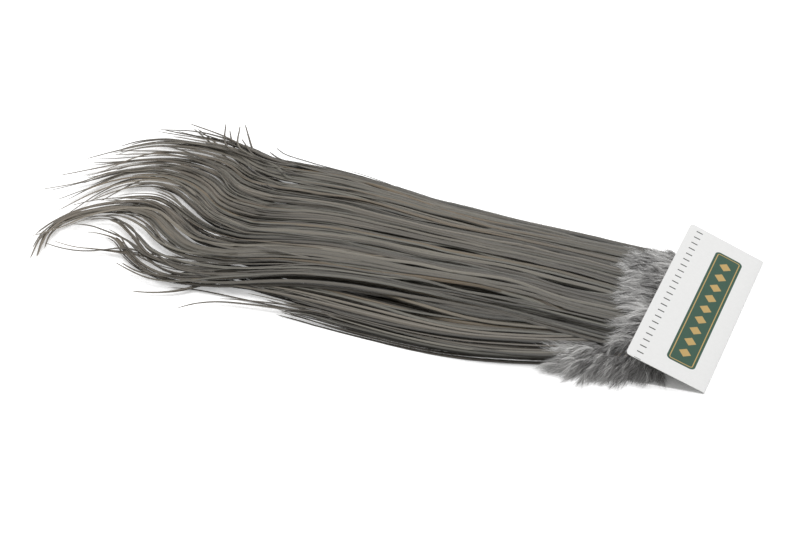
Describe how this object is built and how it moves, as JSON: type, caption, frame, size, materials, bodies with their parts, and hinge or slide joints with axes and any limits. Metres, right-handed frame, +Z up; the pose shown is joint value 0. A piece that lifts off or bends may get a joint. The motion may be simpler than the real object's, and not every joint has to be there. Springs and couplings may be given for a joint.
{
  "type": "rooster saddle patch",
  "caption": "Dried rooster saddle skin with long narrow grey-dun feathers, spread and curled at the tips, its butt end held in a folded card.",
  "frame": {"origin": "the middle of the card's flat underside, on the surface that the card lies on", "axes": "+X from the feather tips to the fold of the card, +Y along the fold, +Z up"},
  "size_m": [0.3869, 0.1725, 0.0176],
  "materials": {
    "card": "coated white board with a satin printed face",
    "skin": "dried bare skin, stiff and slightly translucent",
    "hackle": "warm grey-dun feather barbs with a soft gloss",
    "down": "matt silvery down"
  },
  "bodies": {
    "root": {"card": "card", "skin": "skin", "lower_lock_01": "hackle", "lower_lock_02": "hackle", "lower_lock_03": "hackle", "lower_lock_04": "hackle", "lower_lock_05": "hackle", "lower_lock_06": "hackle", "lower_lock_07": "hackle", "lower_lock_08": "hackle", "lower_lock_09": "hackle", "lower_lock_10": "hackle", "lower_lock_11": "hackle", "lower_lock_12": "hackle", "middle_lock_01": "hackle", "middle_lock_02": "hackle", "middle_lock_03": "hackle", "middle_lock_04": "hackle", "middle_lock_05": "hackle", "middle_lock_06": "hackle", "middle_lock_07": "hackle", "middle_lock_08": "hackle", "middle_lock_09": "hackle", "middle_lock_10": "hackle", "middle_lock_11": "hackle", "middle_lock_12": "hackle", "middle_lock_13": "hackle", "middle_lock_14": "hackle", "upper_lock_01": "hackle", "upper_lock_02": "hackle", "upper_lock_03": "hackle", "upper_lock_04": "hackle", "upper_lock_05": "hackle", "upper_lock_06": "hackle", "upper_lock_07": "hackle", "upper_lock_08": "hackle", "upper_lock_09": "hackle", "upper_lock_10": "hackle", "upper_lock_11": "hackle", "upper_lock_12": "hackle", "upper_lock_13": "hackle", "upper_lock_14": "hackle", "upper_lock_15": "hackle", "upper_lock_16": "hackle", "down_ruff": "down", "down_near_side": "down", "down_far_side": "down"}
  },
  "joints": []
}
